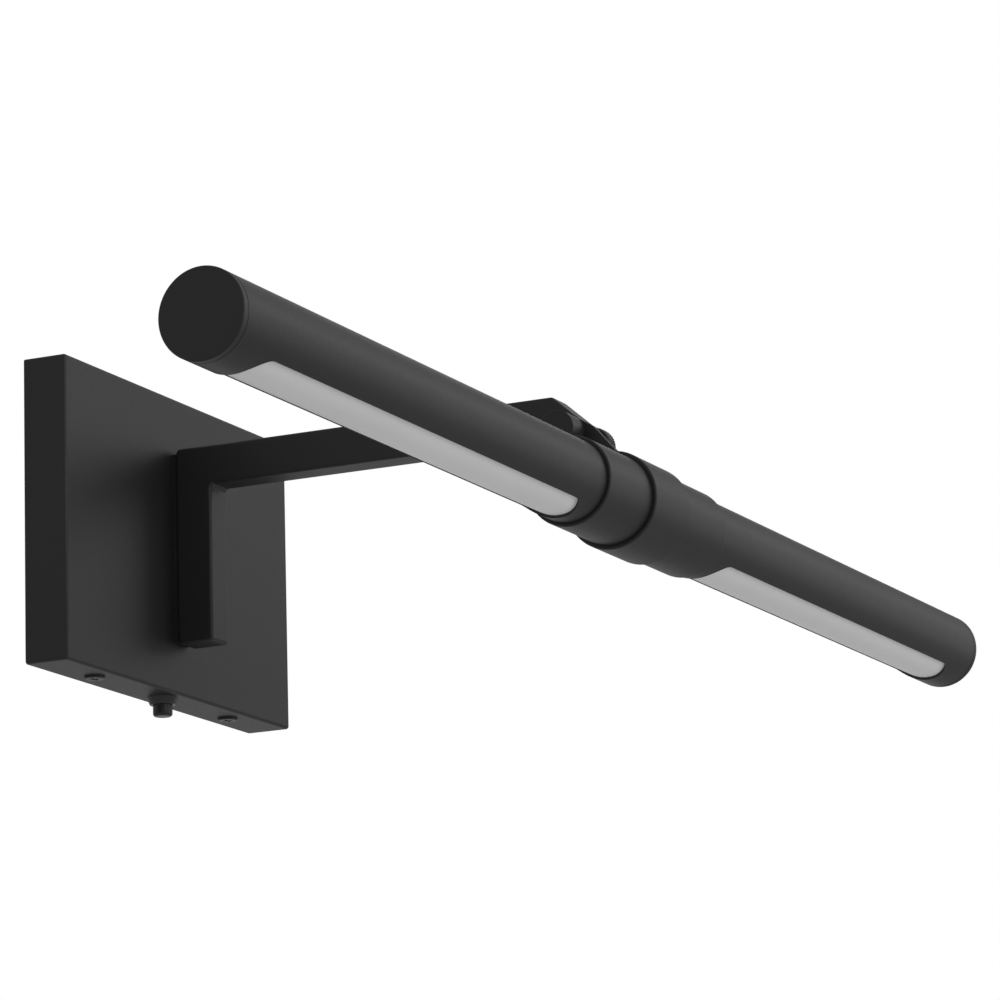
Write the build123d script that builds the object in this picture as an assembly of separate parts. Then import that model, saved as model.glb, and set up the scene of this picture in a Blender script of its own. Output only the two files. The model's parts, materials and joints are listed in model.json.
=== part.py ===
from build123d import *
import math
import os

# Wall-mounted LED picture light. Millimetres. +Z is up, +X runs along the lamp tube, and the wall is the
# plane Y = 0 with the light standing out from it towards -Y. The origin is the centre of the canopy's back.

FIT = 0.05                       # radial clearance of a screw, pin or plug in its hole
CUT = 1.0                        # how far a cutting shape runs past the surface that it cuts

# ---- canopy: a pressed steel cover, open at the back
CANOPY_W, CANOPY_H, CANOPY_D = 171.5, 114.3, 17.5
SHEET = 1.5                      # thickness of the cover
CANOPY_EDGE = 1.2                # outer edge radius
MID_DEPTH = CANOPY_D / 2         # the underside's screws and switch stand half way out from the wall
BOTTOM = -CANOPY_H / 2
CANOPY_BACK_OF_FRONT = -CANOPY_D + SHEET

# ---- wall bracket: a flat strap with legs and bent tabs, fixed to the junction box
STRAP = 2.0                      # thickness
STRAP_HALF_X, STRAP_HALF_Z = 72.0, 15.0
BOX_SCREW_SPACING, BOX_SLOT_R, BOX_SLOT_L = 88.9, 2.6, 20.0
CABLE_ENTRY_R = 11.0
TAB_HALF_X, TAB_THICK, TAB_DEPTH, UPPER_TAB_DEPTH = 8.0, 1.5, 13.0, 6.5
TAB_GAP = 0.15                   # between the tabs and the inside of the cover
COVER_SCREW_X, COVER_SCREW_R, COVER_SCREW_LEN = 51.0, 1.7, 7.0
COVER_HEAD_R, COVER_HEAD_H, COVER_HOLE_PLAY = 3.9, 1.0, 0.2
GROUND_X, GROUND_Z, GROUND_R, GROUND_HEAD_R, GROUND_HEAD_H = 24.0, -9.5, 2.0, 3.6, 2.2

# ---- electrical pieces inside the canopy
DRIVER_X, DRIVER_Z, DRIVER_BACK, DRIVER_CORNER, DRIVER_EDGE = (-78.0, -22.0), (18.0, 46.0), -5.0, 1.5, 0.8
TERMINAL_X, TERMINAL_Z, TERMINAL_BACK = (24.0, 54.0), (22.0, 36.0), -6.0
TERMINAL_WAYS, TERMINAL_PITCH, TERMINAL_FIRST = 3, 10.0, 29.0
TERMINAL_SCREW_R, TERMINAL_SCREW_DEPTH = 2.2, 3.0
TERMINAL_WIRE_R, TERMINAL_WIRE_Y, TERMINAL_WIRE_DEPTH = 1.8, -11.0, 4.0

# ---- L-shaped arm of square bar
BAR_W, BAR_H = 12.7, 15.0
SPACER = 1.5                     # pad that stands the arm off the cover
SPACER_INSET, SPACER_TOP_INSET = 0.9, 1.8
LEG_LOW, ARM_TOP = -38.6, 36.6
ARM_FRONT = -176.6               # where the arm's top edge ends and the sloping nose starts
NOSE_R, NOSE_UNDERCUT = 7.0, 9.0
NOSE_TOP_R, ARM_CORNER_R, LEG_FOOT_R, ARM_EDGE_R = 2.0, 1.8, 1.3, 1.1
BACK_OF_ARM = -(CANOPY_D + SPACER)
ARM_UNDER = ARM_TOP - BAR_H
LEAD_Z = ARM_TOP - BAR_H / 2
LEAD_OUTLET_Y = ARM_FRONT + 16   # the lead leaves through the underside here
LEAD_R, LEAD_BORE_R, LEAD_BEND_R, LEAD_START_Y = 1.9, 3.0, 4.2, -12.0
ARM_SCREW_Z, ARM_SCREW_R, ARM_SCREW_LEN = (-26.0, 8.0), 1.95, 12.0
ARM_SCREW_HEAD_R, ARM_SCREW_HEAD_H, ARM_HOLE_R, ARM_TAP_R, ARM_TAP_DEPTH = 3.8, 2.4, 2.2, 2.0, 9.0
BACKPLATE_HALF_X, BACKPLATE_Z, BACKPLATE, BACKPLATE_CORNER = 14.0, (-34.0, 36.0), 2.0, 2.0
GROMMET_WALL, GROMMET_LIP, GROMMET_LIP_H, GROMMET_H = 0.95, 2.2, 1.15, 3.2

# ---- friction knuckle: its axis runs along X through (PIVOT_Y, PIVOT_Z)
PIVOT_Y, PIVOT_Z = -184.3, 20.4
WASHER, WASHER_R, WASHER_PLAY = 0.6, 6.5, 0.02
CHEEK, CHEEK_R = 3.0, 7.2
CHEEK_SLOPE, CHEEK_RUN = 31.0, 7.4        # the cheek's upper edge: degrees below level, and its length
BOSS_LEN, BOSS_EDGE, BOSS_FLOOR = 10.7, 0.2, 2.0
SHANK_R, THREAD_R, THREAD_END_GAP = 2.95, 2.4, 0.6
HEAD_R, HEAD_LEN, HEAD_BEVEL, NECK_R, NECK_LEN = 7.4, 5.9, 0.7, 4.6, 4.3
KNURL_TEETH, KNURL_DEPTH = 44, 0.35
FOOT, FOOT_END, FOOT_ANGLES, FOOT_SEAT = 2.0, 8.0, (18.0, 84.0), 0.02
FOOT_SCREW_X, FOOT_SCREW_ANGLE = (-2.8, 4.2), 38.0
FOOT_SCREW_R, FOOT_HOLE_R, FOOT_HEAD_R, FOOT_HEAD_H = 1.45, 1.5, 2.6, 1.6

# ---- lamp: two tube halves that turn on a hollow spindle held by the centre sleeve
TUBE_Y, TUBE_Z = -203.2, -7.3
TUBE_R, TUBE_BORE = 15.25, 13.6
LAMP_HALF = 320.8                # half the overall length
CAP, CAP_PLUG, CAP_PLUG_WALL, CAP_EDGE, JOINT_EDGE = 3.0, 9.0, 1.95, 0.6, 0.3
SLEEVE_R, SLEEVE_BORE, SLEEVE_HALF, SLEEVE_EDGE = 18.2, 16.2, 15.75, 0.7
COLLAR_R, COLLAR_END, COLLAR_EDGE = 16.6, 52.0, 0.7
GRUB_R, GRUB_HOLE_R, GRUB_SINK = 1.45, 1.5, 0.1
SEAM = 0.3                       # gap between the sleeve and each turning half
HUB_HALF, HUB_SCREW_R, HUB_SCREW_FLOOR = 4.5, 2.0, 1.8
SPINDLE_R, SPINDLE_BORE, SPINDLE_HALF = 12.9, 11.4, 40.5
BUSH_START, BUSH_END = 18.0, 38.0
CLIP_X, CLIP_HALF, CLIP_LIP, CLIP_SINK = 38.9, 0.6, 0.45, 0.6
LEAD_INLET_X, INLET_R, INLET_SPINDLE_R, INLET_GROMMET_H = 10.0, 3.0, 2.4, 3.6
WINDOW_START, WINDOW_END, WINDOW_HALF, WINDOW_CORNER = 61.0, 301.0, 10.8, 8.5
LENS_FACE_R, LENS_GAP = 14.2, 0.15        # the raised face that fills the window
LENS_R, LENS_THICK, LENS_HALF_ANGLE, LENS_LAP = 13.5, 1.6, 60.0, 4.0
SINK_HALF, SINK_LOW, SINK_HIGH, SINK_LAP, SINK_END_GAP = 12.0, 3.2, 6.2, 6.0, 1.0
BOARD_HALF, BOARD_LOW, BOARD_LAP = 9.0, 2.0, (4.0, 3.0)
LED_PITCH, LED_COUNT, LED_SIZE, LED_HEIGHT = 10.0, 24, 3.0, 0.8

# ---- push-button switch in the canopy's underside
SWITCH_Y = -MID_DEPTH
SWITCH_HALF_X, SWITCH_HALF_Y, SWITCH_TOP, SWITCH_CEILING, SWITCH_SHOULDER = 9.0, 5.6, -36.5, -40.0, -54.0
BUSHING_R, BUSHING_REACH, BUTTON_R, BUTTON_FLANGE_R, BUTTON_PLAY = 4.5, 1.5, 3.7, 4.3, 0.1
BUTTON_FLANGE_Z, BUTTON_FLANGE_H, BUTTON_OUT, BUTTON_TIP_R = -52.35, 1.5, 4.4, 1.1
FLANGE_SEAT, FLANGE_PLAY = 1.6, 0.2
BEZEL_R, BEZEL_TIP_R, BEZEL_H, BEZEL_EDGE, BEZEL_THREAD = 5.9, 4.85, 2.8, 0.3, 1.8
LOCKNUT_HALF, LOCKNUT_H = 6.2, 1.9
PIN_X, PIN_HALF_X, PIN_HALF_Y, PIN_TOP = 5.0, 1.5, 0.4, -31.0
SPRING_R, SPRING_WIRE_R, SPRING_TURNS, SPRING_GAP = 3.2, 0.32, 6, 0.4


def block(x0, x1, y0, y1, z0, z1):
    """A box between two corners."""
    size = (x1 - x0, y1 - y0, z1 - z0)
    return Pos((x0 + x1) / 2, (y0 + y1) / 2, (z0 + z1) / 2) * Box(*size)


def rod(start, direction, length, radius):
    """A round bar from a start point along a direction."""
    plane = Plane(origin=start, z_dir=direction)
    return plane * Cylinder(radius, length, align=(Align.CENTER, Align.CENTER, Align.MIN))


def rod_x(x0, x1, radius, y=TUBE_Y, z=TUBE_Z):
    """A round bar along X, on the lamp's axis unless another is given."""
    return rod((x0, y, z), (1, 0, 0), x1 - x0, radius)


def ring_x(x0, x1, outer, inner, y=TUBE_Y, z=TUBE_Z):
    """A round ring along X."""
    return rod_x(x0, x1, outer, y, z) - rod_x(x0 - CUT, x1 + CUT, inner, y, z)


def radial_rod(x, r0, r1, radius, angle=FOOT_SCREW_ANGLE):
    """A bar pointing away from the lamp's axis, at an angle from +Y towards +Z."""
    a = math.radians(angle)
    start = (x, TUBE_Y + r0 * math.cos(a), TUBE_Z + r0 * math.sin(a))
    return rod(start, (0, math.cos(a), math.sin(a)), r1 - r0, radius)


def side_profile(x0, x1, lines):
    """A solid between two X values with an outline of edges drawn in (Y, Z)."""
    face = make_face(lines)
    return extrude(Plane(origin=(x0, 0, 0), x_dir=(0, 1, 0), z_dir=(1, 0, 0)) * face, x1 - x0)


def wedge(x0, x1, reach, from_angle, to_angle):
    """A sector of the space about the lamp's axis, angles from +Y towards +Z."""
    points = [(TUBE_Y, TUBE_Z)]
    for step in range(5):
        a = math.radians(from_angle + (to_angle - from_angle) * step / 4)
        points.append((TUBE_Y + reach * math.cos(a), TUBE_Z + reach * math.sin(a)))
    return side_profile(x0, x1, [Polyline(*points, points[0])])


def outer_edges(solid, end):
    """The outer edges of a solid's last face along X: end -1 for the highest X, 0 for the lowest."""
    return solid.faces().filter_by(Axis.X).sort_by(Axis.X)[end].outer_wire().edges()


def pan_screw(seat, direction, head_r, head_h, shank_r, length):
    """A pan-head screw with a cross recess: seat is the centre under its head, direction its point's way."""
    x, y, z = seat
    dx, dy, dz = direction
    back = (-dx, -dy, -dz)
    head = rod(seat, back, head_h, head_r)
    top = head.faces().sort_by(Axis(seat, back))[-1]
    head = fillet(top.edges(), head_h * 0.6)
    centre = Plane(origin=(x - dx * head_h, y - dy * head_h, z - dz * head_h), z_dir=back)
    depth = head_h * 0.6
    slot_long, slot_wide = head_r * 1.1, head_r * 0.24
    cross = centre * (Box(slot_long, slot_wide, 2 * depth) + Box(slot_wide, slot_long, 2 * depth))
    return head - cross + rod(seat, direction, length, shank_r)


def tangent_point(outside, centre, radius, side):
    """Where a line from an outside point touches a circle, in the Y-Z plane."""
    dy, dz = outside[0] - centre[0], outside[1] - centre[1]
    angle = math.atan2(dz, dy) + side * math.acos(radius / math.hypot(dy, dz))
    return centre[0] + radius * math.cos(angle), centre[1] + radius * math.sin(angle)


def save(name, *solids):
    """Write one named sub-part, as one solid or as a group of separate ones."""
    shape = solids[0] if len(solids) == 1 else Compound(children=list(solids))
    export_step(shape, f"parts/{name}.step")


# ---- canopy, bracket and the pieces inside

def canopy_cover():
    half_x, half_z = CANOPY_W / 2, CANOPY_H / 2
    outer = block(-half_x, half_x, -CANOPY_D, 0, -half_z, half_z)
    outer = fillet(outer.edges().filter_by(Axis.Y) + outer.faces().sort_by(Axis.Y)[0].edges(), CANOPY_EDGE)
    inner_x, inner_z = half_x - SHEET, half_z - SHEET
    cover = outer - block(-inner_x, inner_x, CANOPY_BACK_OF_FRONT, CUT, -inner_z, inner_z)
    through = SHEET + 2 * CUT
    for x in (-COVER_SCREW_X, COVER_SCREW_X):
        cover -= rod((x, -MID_DEPTH, BOTTOM - CUT), (0, 0, 1), through, COVER_SCREW_R + COVER_HOLE_PLAY)
    cover -= rod((0, SWITCH_Y, BOTTOM - CUT), (0, 0, 1), through, BUSHING_R + FIT)
    for z in ARM_SCREW_Z:
        cover -= rod((0, -CANOPY_D - CUT, z), (0, 1, 0), through, ARM_HOLE_R)
    return cover - rod((0, -CANOPY_D - CUT, LEAD_Z), (0, 1, 0), through, LEAD_BORE_R + 0.5)


def wall_bracket():
    reach = CANOPY_H / 2 - SHEET - TAB_GAP
    through = STRAP + 2 * CUT
    plate = block(-STRAP_HALF_X, STRAP_HALF_X, -STRAP, 0, -STRAP_HALF_Z, STRAP_HALF_Z)
    for x in (-COVER_SCREW_X, COVER_SCREW_X):
        left, right = x - TAB_HALF_X, x + TAB_HALF_X
        plate += block(left, right, -STRAP, 0, -reach, reach)
        plate += block(left, right, -TAB_DEPTH, 0, -reach, -reach + TAB_THICK)
        plate += block(left, right, -UPPER_TAB_DEPTH, 0, reach - TAB_THICK, reach)
        plate -= rod((x, -MID_DEPTH, -reach - CUT), (0, 0, 1), TAB_THICK + 2 * CUT, COVER_SCREW_R + FIT)
    for x in (-BOX_SCREW_SPACING / 2, BOX_SCREW_SPACING / 2):
        place = Plane(origin=(x, CUT, 0), x_dir=(1, 0, 0), z_dir=(0, -1, 0))
        plate -= extrude(place * SlotOverall(BOX_SLOT_L, 2 * BOX_SLOT_R), through)
    plate -= rod((0, CUT, 0), (0, -1, 0), through, CABLE_ENTRY_R)
    return plate - rod((GROUND_X, CUT, GROUND_Z), (0, -1, 0), through, GROUND_R + FIT)


def cover_screws():
    for x in (-COVER_SCREW_X, COVER_SCREW_X):
        seat = (x, -MID_DEPTH, BOTTOM)
        yield pan_screw(seat, (0, 0, 1), COVER_HEAD_R, COVER_HEAD_H, COVER_SCREW_R, COVER_SCREW_LEN)


def ground_screw():
    seat = (GROUND_X, -STRAP, GROUND_Z)
    return pan_screw(seat, (0, 1, 0), GROUND_HEAD_R, GROUND_HEAD_H, GROUND_R, STRAP)


def led_driver():
    case = block(*DRIVER_X, CANOPY_BACK_OF_FRONT, DRIVER_BACK, *DRIVER_Z)
    case = fillet(case.edges().filter_by(Axis.Y), DRIVER_CORNER)
    return fillet(case.faces().sort_by(Axis.Y)[-1].edges(), DRIVER_EDGE)


def terminal_block():
    body = block(*TERMINAL_X, CANOPY_BACK_OF_FRONT, TERMINAL_BACK, *TERMINAL_Z)
    middle, low = sum(TERMINAL_Z) / 2, TERMINAL_Z[0]
    for way in range(TERMINAL_WAYS):
        x = TERMINAL_FIRST + TERMINAL_PITCH * way
        screw_mouth = (x, TERMINAL_BACK + CUT, middle)
        wire_mouth = (x, TERMINAL_WIRE_Y, low - CUT)
        body -= rod(screw_mouth, (0, -1, 0), TERMINAL_SCREW_DEPTH + CUT, TERMINAL_SCREW_R)
        body -= rod(wire_mouth, (0, 0, 1), TERMINAL_WIRE_DEPTH + CUT, TERMINAL_WIRE_R)
    return body


# ---- switch

def switch_body():
    mouth = BOTTOM - BUSHING_REACH
    front, back = SWITCH_Y - SWITCH_HALF_Y, SWITCH_Y + SWITCH_HALF_Y
    case = block(-SWITCH_HALF_X, SWITCH_HALF_X, front, back, SWITCH_SHOULDER + 0.4, SWITCH_TOP)
    case += rod((0, SWITCH_Y, mouth), (0, 0, 1), SWITCH_SHOULDER + CUT - mouth, BUSHING_R)
    seat = SWITCH_SHOULDER + FLANGE_SEAT
    case -= rod((0, SWITCH_Y, mouth - CUT), (0, 0, 1), seat + CUT - mouth, BUTTON_R + BUTTON_PLAY)
    case -= rod((0, SWITCH_Y, seat), (0, 0, 1), SWITCH_CEILING - seat, BUTTON_FLANGE_R + FLANGE_PLAY)
    for x in (-PIN_X, PIN_X):
        case += block(x - PIN_HALF_X, x + PIN_HALF_X, SWITCH_Y - PIN_HALF_Y, SWITCH_Y + PIN_HALF_Y,
                      SWITCH_TOP - 0.5, PIN_TOP)
    return case


def switch_locknut():
    low = BOTTOM + SHEET
    hexagon = Plane(origin=(0, SWITCH_Y, low)) * RegularPolygon(LOCKNUT_HALF, 6, major_radius=False)
    nut = extrude(hexagon, LOCKNUT_H)
    return nut - rod((0, SWITCH_Y, low - CUT), (0, 0, 1), LOCKNUT_H + 2 * CUT, BUSHING_R + FIT)


def switch_bezel():
    bezel = Pos(0, SWITCH_Y, BOTTOM - BEZEL_H / 2) * Cone(BEZEL_TIP_R, BEZEL_R, BEZEL_H)
    bezel = fillet(bezel.faces().sort_by(Axis.Z)[0].edges(), BEZEL_EDGE)
    bezel -= rod((0, SWITCH_Y, BOTTOM - BEZEL_THREAD), (0, 0, 1), BEZEL_THREAD + CUT, BUSHING_R + FIT)
    return bezel - rod((0, SWITCH_Y, BOTTOM - BEZEL_H - CUT), (0, 0, 1), BEZEL_H + 2 * CUT, BUTTON_R + 0.15)


def switch_button():
    tip, flange = BOTTOM - BEZEL_H - BUTTON_OUT, BUTTON_FLANGE_Z
    button = rod((0, SWITCH_Y, tip), (0, 0, 1), flange - tip, BUTTON_R)
    button = fillet(button.faces().sort_by(Axis.Z)[0].edges(), BUTTON_TIP_R)
    return button + rod((0, SWITCH_Y, flange), (0, 0, 1), BUTTON_FLANGE_H, BUTTON_FLANGE_R)


def switch_spring():
    """Return spring between the button's flange and the switch's ceiling."""
    low = BUTTON_FLANGE_Z + BUTTON_FLANGE_H + SPRING_GAP
    length = SWITCH_CEILING - SPRING_GAP - low
    coil = Pos(0, SWITCH_Y, low) * Helix(pitch=length / SPRING_TURNS, height=length, radius=SPRING_R)
    return sweep(Plane(origin=coil @ 0, z_dir=coil % 0) * Circle(SPRING_WIRE_R), coil)


# ---- arm

def support_arm():
    back, low, top, under = BACK_OF_ARM, LEG_LOW, ARM_TOP, ARM_UNDER
    front_of_leg = back - BAR_H
    pivot = (PIVOT_Y, PIVOT_Z)
    below = (ARM_FRONT + NOSE_UNDERCUT, under)
    nose_low = tangent_point(below, pivot, NOSE_R, -1)
    nose_high = tangent_point((ARM_FRONT, top), pivot, NOSE_R, 1)
    outline = [
        Polyline((back, low), (front_of_leg, low), (front_of_leg, under), below, nose_low),
        ThreePointArc(nose_low, (PIVOT_Y - NOSE_R, PIVOT_Z), nose_high),
        Polyline(nose_high, (ARM_FRONT, top), (back, top), (back, low)),
    ]
    arm = side_profile(-BAR_W / 2, BAR_W / 2, outline)

    def corner(y, z):
        across = arm.edges().filter_by(Axis.X)
        return [edge for edge in across if math.dist((edge.center().Y, edge.center().Z), (y, z)) < 0.1]

    arm = fillet(corner(ARM_FRONT, top), NOSE_TOP_R)
    arm = fillet(corner(back, top) + corner(front_of_leg, under), ARM_CORNER_R)
    arm = fillet(corner(back, low) + corner(front_of_leg, low), LEG_FOOT_R)
    sides = arm.faces().filter_by(Axis.X).sort_by(Axis.X)
    arm = fillet([edge for side in (sides[0], sides[-1]) for edge in side.edges()], ARM_EDGE_R)
    bore_length = back + CUT - LEAD_OUTLET_Y + LEAD_BORE_R
    arm -= rod((0, back + CUT, LEAD_Z), (0, -1, 0), bore_length, LEAD_BORE_R)
    arm -= rod((0, LEAD_OUTLET_Y, under - CUT), (0, 0, 1), BAR_H / 2 + CUT, LEAD_BORE_R + 1)
    for z in ARM_SCREW_Z:
        arm -= rod((0, back + CUT, z), (0, -1, 0), ARM_TAP_DEPTH + CUT, ARM_TAP_R)
    return arm - rod_x(-BAR_W, BAR_W, SHANK_R + FIT, PIVOT_Y, PIVOT_Z)


def arm_lead():
    """The two-core lead inside the arm, from the canopy to its outlet under the arm's front end."""
    start = (0, LEAD_START_Y, LEAD_Z)
    corner = (0, LEAD_OUTLET_Y, LEAD_Z)
    end = (0, LEAD_OUTLET_Y, ARM_UNDER - 0.5)
    path = FilletPolyline(start, corner, end, radius=LEAD_BEND_R)
    return sweep(Plane(origin=start, z_dir=(0, -1, 0)) * Circle(LEAD_R), path)


def arm_grommet():
    low = ARM_UNDER - GROMMET_LIP_H - FIT
    body = rod((0, LEAD_OUTLET_Y, low), (0, 0, 1), GROMMET_H, LEAD_BORE_R + GROMMET_WALL)
    body += rod((0, LEAD_OUTLET_Y, low), (0, 0, 1), GROMMET_LIP_H, LEAD_BORE_R + GROMMET_LIP)
    return body - rod((0, LEAD_OUTLET_Y, low - CUT), (0, 0, 1), GROMMET_H + 2 * CUT, LEAD_R + FIT)


def arm_backplate():
    front = CANOPY_BACK_OF_FRONT
    plate = block(-BACKPLATE_HALF_X, BACKPLATE_HALF_X, front, front + BACKPLATE, *BACKPLATE_Z)
    plate = fillet(plate.edges().filter_by(Axis.Y), BACKPLATE_CORNER)
    through = BACKPLATE + 2 * CUT
    for z in ARM_SCREW_Z:
        plate -= rod((0, front - CUT, z), (0, 1, 0), through, ARM_HOLE_R)
    return plate - rod((0, front - CUT, LEAD_Z), (0, 1, 0), through, LEAD_BORE_R)


def arm_spacer():
    half = BAR_W / 2 - SPACER_INSET
    pad = block(-half, half, BACK_OF_ARM, -CANOPY_D, LEG_LOW + SPACER_INSET, ARM_TOP - SPACER_TOP_INSET)
    through = SPACER + 2 * CUT
    for z in ARM_SCREW_Z:
        pad -= rod((0, BACK_OF_ARM - CUT, z), (0, 1, 0), through, ARM_HOLE_R)
    return pad - rod((0, BACK_OF_ARM - CUT, LEAD_Z), (0, 1, 0), through, LEAD_BORE_R)


def arm_screws():
    for z in ARM_SCREW_Z:
        seat = (0, CANOPY_BACK_OF_FRONT + BACKPLATE, z)
        yield pan_screw(seat, (0, -1, 0), ARM_SCREW_HEAD_R, ARM_SCREW_HEAD_H, ARM_SCREW_R, ARM_SCREW_LEN)


# ---- knuckle

CHEEK_INNER = -(BAR_W / 2 + WASHER)
CHEEK_OUTER = CHEEK_INNER - CHEEK


def swivel_bracket():
    """Cheek plate with a threaded boss at the pivot and a curved foot on the centre sleeve."""
    slope = math.radians(CHEEK_SLOPE)
    shoulder = (PIVOT_Y - CHEEK_R * math.sin(slope), PIVOT_Z + CHEEK_R * math.cos(slope))
    elbow = (shoulder[0] - CHEEK_RUN * math.cos(slope), shoulder[1] - CHEEK_RUN * math.sin(slope))
    toe = (TUBE_Y - 1.3, TUBE_Z + SLEEVE_R)
    heel = (TUBE_Y + 13.5, TUBE_Z + 12.0)
    pivot, back_of_pivot = (PIVOT_Y, PIVOT_Z), (PIVOT_Y + CHEEK_R, PIVOT_Z)
    inside_sleeve = (TUBE_Y, TUBE_Z + 10)
    edge = Polyline(pivot, shoulder, elbow, toe, inside_sleeve, heel, back_of_pivot, pivot)
    plate = side_profile(CHEEK_OUTER, CHEEK_INNER, [edge])
    plate += rod_x(CHEEK_OUTER, CHEEK_INNER, CHEEK_R, PIVOT_Y, PIVOT_Z)
    plate -= rod_x(CHEEK_OUTER - CUT, CHEEK_INNER + CUT, SLEEVE_R + FOOT_SEAT)
    foot = ring_x(CHEEK_OUTER, FOOT_END, SLEEVE_R + FOOT, SLEEVE_R + FOOT_SEAT)
    foot &= wedge(CHEEK_OUTER - CUT, FOOT_END + CUT, SLEEVE_R + 3 * FOOT, *FOOT_ANGLES)
    boss_end = CHEEK_OUTER - BOSS_LEN
    boss = rod_x(boss_end, CHEEK_OUTER, CHEEK_R, PIVOT_Y, PIVOT_Z)
    boss = fillet(boss.faces().sort_by(Axis.X)[0].edges(), BOSS_EDGE)
    bracket = plate + foot + boss
    bracket -= rod_x(boss_end + BOSS_FLOOR, CHEEK_INNER + CUT, THREAD_R + FIT, PIVOT_Y, PIVOT_Z)
    for x in FOOT_SCREW_X:
        bracket -= radial_rod(x, SLEEVE_R - FOOT, SLEEVE_R + 2 * FOOT, FOOT_HOLE_R)
    return bracket


def foot_screws():
    a = math.radians(FOOT_SCREW_ANGLE)
    seat_r = SLEEVE_R + FOOT + FIT
    inward = (0, -math.cos(a), -math.sin(a))
    length = seat_r - SPINDLE_R - 2 * HUB_SCREW_FLOOR + 0.2
    for x in FOOT_SCREW_X:
        seat = (x, TUBE_Y + seat_r * math.cos(a), TUBE_Z + seat_r * math.sin(a))
        yield pan_screw(seat, inward, FOOT_HEAD_R, FOOT_HEAD_H, FOOT_SCREW_R, length)


def thumb_screw():
    neck_start = BAR_W / 2 + WASHER + WASHER_PLAY
    start = neck_start + NECK_LEN
    end = start + HEAD_LEN
    rim = []
    for tooth in range(2 * KNURL_TEETH):
        radius = HEAD_R - KNURL_DEPTH * (tooth % 2)
        a = math.pi * tooth / KNURL_TEETH
        rim.append((PIVOT_Y + radius * math.cos(a), PIVOT_Z + radius * math.sin(a)))
    head = side_profile(start, end, [Polyline(*rim, rim[0])])
    envelope = rod_x(start, end, HEAD_R + FIT, PIVOT_Y, PIVOT_Z)
    head &= chamfer(envelope.edges().filter_by(GeomType.CIRCLE), HEAD_BEVEL)
    shank_end = CHEEK_INNER + FIT
    thread_end = CHEEK_OUTER - BOSS_LEN + BOSS_FLOOR + THREAD_END_GAP
    neck = rod_x(neck_start, start, NECK_R, PIVOT_Y, PIVOT_Z)
    shank = rod_x(shank_end, neck_start, SHANK_R, PIVOT_Y, PIVOT_Z)
    thread = rod_x(thread_end, shank_end, THREAD_R, PIVOT_Y, PIVOT_Z)
    return head + neck + shank + thread


def friction_washers():
    face, thick = BAR_W / 2 + WASHER_PLAY, WASHER - WASHER_PLAY
    yield ring_x(face, face + thick, WASHER_R, SHANK_R + FIT, PIVOT_Y, PIVOT_Z)
    yield ring_x(-face - thick, -face, WASHER_R, SHANK_R + FIT, PIVOT_Y, PIVOT_Z)


# ---- centre of the lamp

def centre_sleeve():
    sleeve = ring_x(-SLEEVE_HALF, SLEEVE_HALF, SLEEVE_R, SLEEVE_BORE)
    sleeve = fillet(outer_edges(sleeve, 0) + outer_edges(sleeve, -1), SLEEVE_EDGE)
    for x in FOOT_SCREW_X:
        sleeve -= radial_rod(x, SLEEVE_BORE - CUT, SLEEVE_R + CUT, FOOT_HOLE_R)
    inlet_start = (LEAD_INLET_X, TUBE_Y + SPINDLE_R, TUBE_Z)
    return sleeve - rod(inlet_start, (0, 1, 0), SLEEVE_R - SPINDLE_R + CUT, INLET_R)


def sleeve_hub():
    """The ring that holds the spindle in the middle of the sleeve."""
    hub = ring_x(-HUB_HALF, HUB_HALF, SLEEVE_BORE - FIT, SPINDLE_R + FIT)
    for x in FOOT_SCREW_X:
        hub -= radial_rod(x, SPINDLE_R + HUB_SCREW_FLOOR, SLEEVE_R, HUB_SCREW_R)
    return hub


def spindle():
    tube = ring_x(-SPINDLE_HALF, SPINDLE_HALF, SPINDLE_R, SPINDLE_BORE)
    groove = CLIP_HALF + FIT
    for x in (-CLIP_X, CLIP_X):
        tube -= ring_x(x - groove, x + groove, SPINDLE_R + CUT, SPINDLE_R - CLIP_SINK - FIT)
    return tube - rod((LEAD_INLET_X, TUBE_Y, TUBE_Z), (0, 1, 0), SPINDLE_R + CUT, INLET_SPINDLE_R)


def spindle_circlips():
    for x in (-CLIP_X, CLIP_X):
        clip = ring_x(x - CLIP_HALF, x + CLIP_HALF, SPINDLE_R + CLIP_LIP, SPINDLE_R - CLIP_SINK)
        opening = block(x - CUT, x + CUT, TUBE_Y - 2, TUBE_Y + 2, TUBE_Z - SPINDLE_R - CUT, TUBE_Z)
        yield clip - opening


def sleeve_grommet():
    collar = rod((LEAD_INLET_X, TUBE_Y + SLEEVE_BORE - 0.6, TUBE_Z), (0, 1, 0), INLET_GROMMET_H, INLET_R - FIT)
    return collar - rod((LEAD_INLET_X, TUBE_Y, TUBE_Z), (0, 1, 0), 2 * SLEEVE_R, LEAD_R)


# ---- turning halves of the lamp, made on the +X side

def window_prism(inset):
    """The window's rounded outline pushed straight up into the tube, drawn in by an inset."""
    length, width = WINDOW_END - WINDOW_START - 2 * inset, 2 * (WINDOW_HALF - inset)
    plan = RectangleRounded(length, width, WINDOW_CORNER - inset)
    below = Plane(origin=((WINDOW_START + WINDOW_END) / 2, TUBE_Y, TUBE_Z - TUBE_R - CUT))
    return extrude(below * plan, TUBE_R)


def lamp_tube():
    tube = ring_x(SLEEVE_HALF + SEAM, LAMP_HALF - CAP, TUBE_R, TUBE_BORE)
    tube = chamfer(outer_edges(tube, -1), JOINT_EDGE)
    return tube - window_prism(0)


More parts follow.
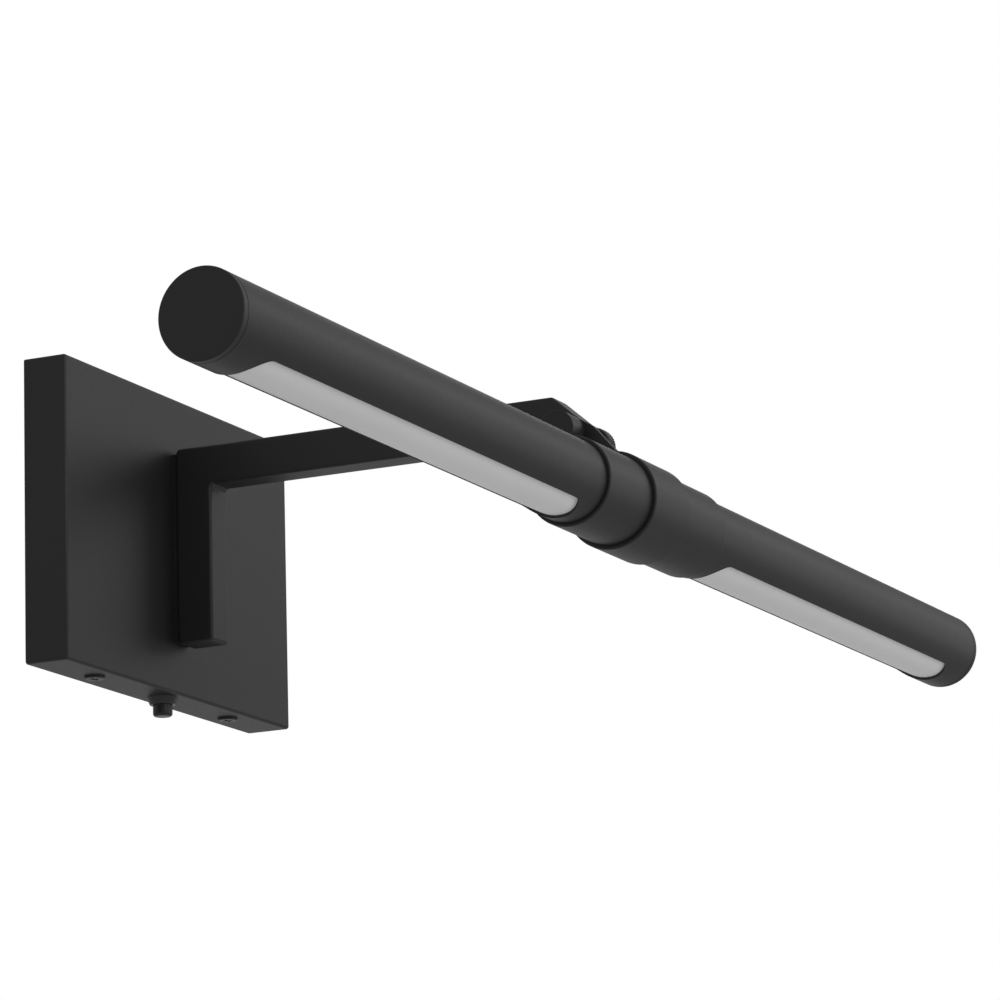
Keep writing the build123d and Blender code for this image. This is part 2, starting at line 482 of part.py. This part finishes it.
def lamp_lens():
    """A diffuser with flanges that lap inside the tube and a raised face that fills the window."""
    inner = LENS_R - LENS_THICK
    flange = ring_x(WINDOW_START - LENS_LAP, WINDOW_END + LENS_LAP, LENS_R, inner)
    flange &= wedge(0, LAMP_HALF, 2 * TUBE_R, 270 - LENS_HALF_ANGLE, 270 + LENS_HALF_ANGLE)
    raised = ring_x(WINDOW_START, WINDOW_END, LENS_FACE_R, inner) & window_prism(LENS_GAP)
    return flange + raised


def end_cap():
    joint = LAMP_HALF - CAP
    cap = rod_x(joint, LAMP_HALF, TUBE_R)
    cap = fillet(outer_edges(cap, -1), CAP_EDGE)
    cap = chamfer(outer_edges(cap, 0), JOINT_EDGE)
    return cap + ring_x(joint - CAP_PLUG, joint, TUBE_BORE - FIT, TUBE_BORE - FIT - CAP_PLUG_WALL)


def led_emitters():
    first = (WINDOW_START + WINDOW_END - LED_PITCH * (LED_COUNT - 1)) / 2
    half, face = LED_SIZE / 2, TUBE_Z + BOARD_LOW
    for n in range(LED_COUNT):
        x = first + n * LED_PITCH
        yield block(x - half, x + half, TUBE_Y - half, TUBE_Y + half, face - LED_HEIGHT, face)


def lamp_half():
    """Every piece of one turning half of the lamp."""
    start = SLEEVE_HALF + SEAM
    grub_x = (start + COLLAR_END) / 2
    collar = ring_x(start, COLLAR_END, COLLAR_R, TUBE_R + FIT)
    collar = fillet(outer_edges(collar, -1), COLLAR_EDGE)
    collar -= radial_rod(grub_x, TUBE_R - CUT, COLLAR_R + CUT, GRUB_HOLE_R, 0)
    sink_end = LAMP_HALF - CAP - CAP_PLUG - SINK_END_GAP
    heat_sink = block(WINDOW_START - SINK_LAP, sink_end, TUBE_Y - SINK_HALF, TUBE_Y + SINK_HALF,
                      TUBE_Z + SINK_LOW, TUBE_Z + SINK_HIGH)
    board_start, board_end = WINDOW_START - BOARD_LAP[0], WINDOW_END + BOARD_LAP[1]
    board = block(board_start, board_end, TUBE_Y - BOARD_HALF, TUBE_Y + BOARD_HALF,
                  TUBE_Z + BOARD_LOW, TUBE_Z + SINK_LOW)
    return {
        "tube": [lamp_tube()],
        "lens": [lamp_lens()],
        "end_cap": [end_cap()],
        "collar": [collar],
        "collar_screw": [radial_rod(grub_x, TUBE_R + FOOT_SEAT, COLLAR_R - GRUB_SINK, GRUB_R, 0)],
        "bush": [ring_x(BUSH_START, BUSH_END, TUBE_BORE - FIT, SPINDLE_R + FIT)],
        "heat_sink": [heat_sink],
        "led_board": [board],
        "led_emitters": list(led_emitters()),
    }


os.makedirs("parts", exist_ok=True)

save("canopy_cover", canopy_cover())
save("wall_bracket", wall_bracket())
save("cover_screws", *cover_screws())
save("ground_screw", ground_screw())
save("led_driver", led_driver())
save("terminal_block", terminal_block())
save("switch_body", switch_body())
save("switch_locknut", switch_locknut())
save("switch_bezel", switch_bezel())
save("switch_button", switch_button())
save("switch_spring", switch_spring())
save("arm_backplate", arm_backplate())
save("arm_screws", *arm_screws())
save("arm_spacer", arm_spacer())
save("support_arm", support_arm())
save("arm_lead", arm_lead())
save("arm_grommet", arm_grommet())

save("swivel_bracket", swivel_bracket())
save("foot_screws", *foot_screws())
save("friction_washers", *friction_washers())
save("thumb_screw", thumb_screw())
save("centre_sleeve", centre_sleeve())
save("sleeve_hub", sleeve_hub())
save("spindle", spindle())
save("spindle_circlips", *spindle_circlips())
save("sleeve_grommet", sleeve_grommet())

for piece, solids in lamp_half().items():
    save(f"right_{piece}", *solids)
    save(f"left_{piece}", *[mirror(solid, about=Plane.YZ) for solid in solids])
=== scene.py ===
import json
import math

import bpy
from mathutils import Matrix, Vector


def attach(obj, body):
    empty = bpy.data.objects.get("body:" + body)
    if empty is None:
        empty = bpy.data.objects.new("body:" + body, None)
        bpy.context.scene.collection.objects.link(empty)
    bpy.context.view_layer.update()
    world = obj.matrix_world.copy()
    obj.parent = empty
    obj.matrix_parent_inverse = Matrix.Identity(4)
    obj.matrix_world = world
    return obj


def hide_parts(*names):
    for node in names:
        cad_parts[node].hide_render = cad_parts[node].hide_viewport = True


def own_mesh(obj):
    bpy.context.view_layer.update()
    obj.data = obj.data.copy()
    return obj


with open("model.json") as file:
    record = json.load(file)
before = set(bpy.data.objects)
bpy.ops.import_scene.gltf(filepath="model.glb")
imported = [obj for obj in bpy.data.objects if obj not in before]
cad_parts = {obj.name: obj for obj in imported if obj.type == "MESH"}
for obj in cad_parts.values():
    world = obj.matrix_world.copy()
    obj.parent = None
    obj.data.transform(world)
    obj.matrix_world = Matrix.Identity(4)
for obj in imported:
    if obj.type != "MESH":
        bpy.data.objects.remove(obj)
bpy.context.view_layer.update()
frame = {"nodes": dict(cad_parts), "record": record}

# ---- camera: it stands low and to the left of the light, looking up along the lamp
CAMERA_PLACE = Vector((-1.6494, -0.9314, -0.4119))
CAMERA_HEADING = 1.1292             # radians, from +Y towards +X
CAMERA_PITCH = 0.2231               # radians, upwards
CAMERA_ROLL = -0.0269               # radians
CAMERA_LENS, SENSOR = 183.0, 36.0   # millimetres
CLIP_NEAR, CLIP_FAR = 0.05, 50      # metres


def add_camera():
    heading, pitch = CAMERA_HEADING, CAMERA_PITCH
    forward = Vector((math.sin(heading) * math.cos(pitch),
                      math.cos(heading) * math.cos(pitch),
                      math.sin(pitch)))
    level = Vector((math.cos(heading), -math.sin(heading), 0))
    up = level.cross(forward)
    right = level * math.cos(CAMERA_ROLL) + up * math.sin(CAMERA_ROLL)
    top = up * math.cos(CAMERA_ROLL) - level * math.sin(CAMERA_ROLL)
    data = bpy.data.cameras.new("camera")
    data.lens, data.sensor_width = CAMERA_LENS, SENSOR
    data.clip_start, data.clip_end = CLIP_NEAR, CLIP_FAR
    camera = bpy.data.objects.new("camera", data)
    bpy.context.scene.collection.objects.link(camera)
    turn = Matrix((right, top, -forward)).transposed().to_4x4()
    camera.matrix_world = Matrix.Translation(CAMERA_PLACE) @ turn
    bpy.context.scene.camera = camera


# ---- material helpers

NOISE_LOW, NOISE_HIGH = 0.3, 0.7    # the part of the noise's range that colours and numbers run over


def new_material(name):
    material = bpy.data.materials.new(name)
    material.use_nodes = True
    tree = material.node_tree
    return material, tree, tree.nodes["Principled BSDF"]


def node(tree, kind, **values):
    made = tree.nodes.new(kind)
    for key, value in values.items():
        if key in made.inputs:
            made.inputs[key].default_value = value
        else:
            setattr(made, key, value)
    return made


def noise(tree, scale, detail=2.0, roughness=0.5, stretch=(1, 1, 1)):
    """Noise in the object's own metres, so that its grain has a real size."""
    place = node(tree, "ShaderNodeTexCoord")
    mapping = node(tree, "ShaderNodeMapping", Scale=stretch)
    texture = node(tree, "ShaderNodeTexNoise", Scale=scale, Detail=detail, Roughness=roughness)
    tree.links.new(place.outputs["Object"], mapping.inputs["Vector"])
    tree.links.new(mapping.outputs["Vector"], texture.inputs["Vector"])
    return texture.outputs["Fac"]


def ramp(tree, source, low, high):
    """A colour that runs from low to high as the source does."""
    made = node(tree, "ShaderNodeValToRGB")
    first, last = made.color_ramp.elements
    first.position, last.position = NOISE_LOW, NOISE_HIGH
    first.color, last.color = (*low, 1), (*high, 1)
    tree.links.new(source, made.inputs["Fac"])
    return made.outputs["Color"]


def spread(tree, source, low, high):
    """A number that runs from low to high as the source does."""
    made = node(tree, "ShaderNodeMapRange")
    made.inputs["From Min"].default_value = NOISE_LOW
    made.inputs["From Max"].default_value = NOISE_HIGH
    made.inputs["To Min"].default_value = low
    made.inputs["To Max"].default_value = high
    tree.links.new(source, made.inputs["Value"])
    return made.outputs["Result"]


def bump(tree, shader, layers):
    """Stack bumps, each a (height source, strength, depth in metres)."""
    previous = None
    for source, strength, depth in layers:
        made = node(tree, "ShaderNodeBump", Strength=strength, Distance=depth)
        tree.links.new(source, made.inputs["Height"])
        if previous:
            tree.links.new(previous.outputs["Normal"], made.inputs["Normal"])
        previous = made
    tree.links.new(previous.outputs["Normal"], shader.inputs["Normal"])


def let_light_in(shader, weight, depth):
    """Scatter light a little way under the surface, depth in metres."""
    shader.inputs["Subsurface Weight"].default_value = weight
    shader.inputs["Subsurface Radius"].default_value = (1.0, 1.0, 1.0)
    shader.inputs["Subsurface Scale"].default_value = depth


def grey(level):
    return level, level, level


# ---- materials, one function for each kind of finish

COAT_BLUE = 1.03                    # the black coat's blue, as a share of its red and green
METAL_GRAIN = 900                   # noise scale of the drawn lines
NYLON_DEPTH, LENS_DEPTH = 0.002, 0.003


def powder_coat(name, dark=0.0165, light=0.0185, rough=(0.43, 0.47), specular=0.5, grain=1.0):
    """Fine matte powder coat: a small orange peel under a finer grain, with faint cloudy variation."""
    material, tree, shader = new_material(name)
    clouds = noise(tree, 28, 3)
    peel = noise(tree, 900, 2)
    fine = noise(tree, 3200, 2, 0.6)
    tree.links.new(ramp(tree, clouds, (dark, dark, dark * COAT_BLUE), (light, light, light * COAT_BLUE)),
                   shader.inputs["Base Color"])
    tree.links.new(spread(tree, peel, *rough), shader.inputs["Roughness"])
    bump(tree, shader, [(peel, 0.25 * grain, 0.00006), (fine, 0.35 * grain, 0.00003)])
    shader.inputs["Specular IOR Level"].default_value = specular
    return material


def metal(name, dark, light, rough, stretch=(1, 1, 1)):
    """Bare or plated metal with fine drawn lines or a fine grain, and cloudy tarnish."""
    material, tree, shader = new_material(name)
    clouds = noise(tree, 45, 4)
    lines = noise(tree, METAL_GRAIN, 3, 0.6, stretch)
    tree.links.new(ramp(tree, clouds, dark, light), shader.inputs["Base Color"])
    tree.links.new(spread(tree, lines, *rough), shader.inputs["Roughness"])
    bump(tree, shader, [(lines, 0.25, 0.00003)])
    shader.inputs["Metallic"].default_value = 1.0
    return material


def moulded(name, dark, light, rough=(0.35, 0.5), grain=1400, depth=0.00004, subsurface=0.0):
    """Moulded plastic or rubber with a spark-eroded grain."""
    material, tree, shader = new_material(name)
    clouds = noise(tree, 35, 3)
    texture = noise(tree, grain, 2, 0.6)
    tree.links.new(ramp(tree, clouds, dark, light), shader.inputs["Base Color"])
    tree.links.new(spread(tree, texture, *rough), shader.inputs["Roughness"])
    bump(tree, shader, [(texture, 0.3, depth)])
    if subsurface:
        let_light_in(shader, subsurface, NYLON_DEPTH)
    return material


def frosted_lens():
    """Opal diffuser, unlit, given a faint painted glow that brightens it in place of lamplight: a soft
    satin face with a faint extrusion grain along the tube.
    """
    material, tree, shader = new_material("frosted_lens")
    clouds = noise(tree, 30, 3)
    drawn = noise(tree, 500, 2, 0.5, (0.05, 1, 1))
    fine = noise(tree, 2600, 2)
    tree.links.new(ramp(tree, clouds, grey(0.86), grey(0.90)), shader.inputs["Base Color"])
    tree.links.new(spread(tree, fine, 0.42, 0.55), shader.inputs["Roughness"])
    bump(tree, shader, [(drawn, 0.12, 0.00004), (fine, 0.2, 0.00002)])
    let_light_in(shader, 0.25, LENS_DEPTH)
    # painted glow: a faint even white emission over the unlit lens, standing in for the light it would
    # catch
    shader.inputs["Emission Color"].default_value = (1, 1, 1, 1)
    shader.inputs["Emission Strength"].default_value = 0.07
    return material


def finishes():
    """Every finish by the name of its slot."""
    return {
        "black_coat": powder_coat("black_coat"),
        "black_screw": powder_coat("black_screw", 0.012, 0.02, (0.3, 0.42), 0.55, 0.6),
        "black_knurl": powder_coat("black_knurl", 0.02, 0.03, (0.32, 0.42), 0.6, 0.5),
        "black_nickel": powder_coat("black_nickel", 0.02, 0.03, (0.26, 0.36), 0.65, 0.4),
        "black_button": moulded("black_button", grey(0.012), grey(0.018), (0.25, 0.36), 1800, 0.00002),
        "black_pad": moulded("black_pad", grey(0.010), grey(0.018), (0.65, 0.8)),
        "lead_sheath": moulded("lead_sheath", grey(0.02), grey(0.03), (0.45, 0.6)),
        "zinc_steel": metal("zinc_steel", (0.50, 0.51, 0.52), (0.64, 0.65, 0.64), (0.25, 0.42)),
        "spindle_steel": metal("spindle_steel", grey(0.48), grey(0.6), (0.2, 0.35), (6, 1, 1)),
        "spring_steel": metal("spring_steel", grey(0.5), grey(0.62), (0.2, 0.32)),
        "green_screw": metal("green_screw", (0.05, 0.26, 0.09), (0.08, 0.36, 0.13), (0.25, 0.4)),
        "driver_case": moulded("driver_case", grey(0.68), grey(0.76)),
        "terminal_plastic": moulded("terminal_plastic", (0.66, 0.64, 0.58), (0.74, 0.72, 0.66)),
        "switch_plastic": moulded("switch_plastic", grey(0.02), grey(0.035)),
        "hub_aluminium": metal("hub_aluminium", grey(0.66), grey(0.78), (0.25, 0.4), (0.05, 1, 1)),
        "bush_nylon": moulded("bush_nylon", (0.70, 0.69, 0.63), (0.78, 0.77, 0.71), subsurface=0.2),
        "frosted_lens": frosted_lens(),
        "board_white": moulded("board_white", grey(0.78), grey(0.84)),
        "led_phosphor": moulded("led_phosphor", (0.72, 0.55, 0.10), (0.82, 0.66, 0.18), (0.2, 0.3)),
    }


SMOOTH_ANGLE = math.radians(28)


def dress_nodes():
    """Give every CAD node its finish, and smooth its shading between sharp edges."""
    made = finishes()
    for part in frame["record"]["subparts"]:
        piece = frame["nodes"][part["node"]]
        piece.data.materials.clear()
        piece.data.materials.append(made[part["material_slot"]])
        piece.data.polygons.foreach_set("use_smooth", [True] * len(piece.data.polygons))
        piece.data.set_sharp_from_angle(angle=SMOOTH_ANGLE)


# ---- the switch's return spring


def shorten_spring():
    """A copy of the CAD coil on a mesh of its own, hung on the root body so that it can be changed where a
    fixed CAD node can't, with the CAD node hidden.
    """
    fixed = frame["nodes"]["switch_spring"]
    coil = bpy.data.objects.new("return_coil", fixed.data.copy())
    bpy.context.scene.collection.objects.link(coil)
    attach(coil, "root")
    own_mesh(coil)
    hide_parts("switch_spring")


# ---- floor, light and background

FLOOR_Z = -1.6                      # low enough to leave views from below the light clear
FLOOR_REACH = 6.0
AMBIENT = 0.35                      # the background's strength for everything but the camera
LIT_POINT = Vector((0, -0.12, 0))

# soft boxes round the light: (name, direction from it, distance and width in metres, power in watts)
SOFTBOXES = (
    ("front", (0.25, -1.0, 0.10), 2.2, 1.2, 5.3),
    ("front_right", (0.88, -0.42, 0.22), 2.4, 1.3, 1.9),
    ("high_right", (0.75, -0.50, 0.60), 2.3, 1.2, 2.0),
    ("low_right", (0.88, 0.42, -0.20), 2.2, 0.9, 0.5),
    ("edge_left", (-0.42, -0.88, 0.22), 2.2, 0.5, 4.0),
    ("back_right", (0.88, 0.42, 0.30), 2.2, 1.0, 3.0),
)


def add_floor():
    mesh = bpy.data.meshes.new("floor")
    corners = [(-1, -1), (1, -1), (1, 1), (-1, 1)]
    mesh.from_pydata([(x * FLOOR_REACH, y * FLOOR_REACH, FLOOR_Z) for x, y in corners], [], [(0, 1, 2, 3)])
    floor = bpy.data.objects.new("floor", mesh)
    bpy.context.scene.collection.objects.link(floor)
    material, tree, shader = new_material("floor_paper")
    tree.links.new(ramp(tree, noise(tree, 3, 2), grey(0.80), grey(0.83)), shader.inputs["Base Color"])
    shader.inputs["Roughness"].default_value = 0.9
    mesh.materials.append(material)


def add_softbox(name, place, aim, size, power):
    data = bpy.data.lights.new(name, "AREA")
    data.shape, data.size, data.energy = "SQUARE", size, power
    lamp = bpy.data.objects.new(name, data)
    bpy.context.scene.collection.objects.link(lamp)
    lamp.location = place
    lamp.rotation_euler = (Vector(aim) - Vector(place)).to_track_quat("-Z", "Y").to_euler()


def add_background():
    """White behind the object, and a dimmer even light from all round."""
    world = bpy.data.worlds.new("studio")
    world.use_nodes = True
    tree = world.node_tree
    tree.nodes.clear()
    seen = node(tree, "ShaderNodeBackground", Color=(1, 1, 1, 1), Strength=1.0)
    ambient = node(tree, "ShaderNodeBackground", Color=(1, 1, 1, 1), Strength=AMBIENT)
    path = node(tree, "ShaderNodeLightPath")
    mix = node(tree, "ShaderNodeMixShader")
    out = node(tree, "ShaderNodeOutputWorld")
    tree.links.new(path.outputs["Is Camera Ray"], mix.inputs["Fac"])
    tree.links.new(ambient.outputs["Background"], mix.inputs[1])
    tree.links.new(seen.outputs["Background"], mix.inputs[2])
    tree.links.new(mix.outputs["Shader"], out.inputs["Surface"])
    bpy.context.scene.world = world
    bpy.context.scene.view_settings.view_transform = "Standard"


add_camera()
dress_nodes()
shorten_spring()
add_floor()
add_background()
for name, direction, distance, size, power in SOFTBOXES:
    add_softbox(name, LIT_POINT + distance * Vector(direction).normalized(), LIT_POINT, size, power)
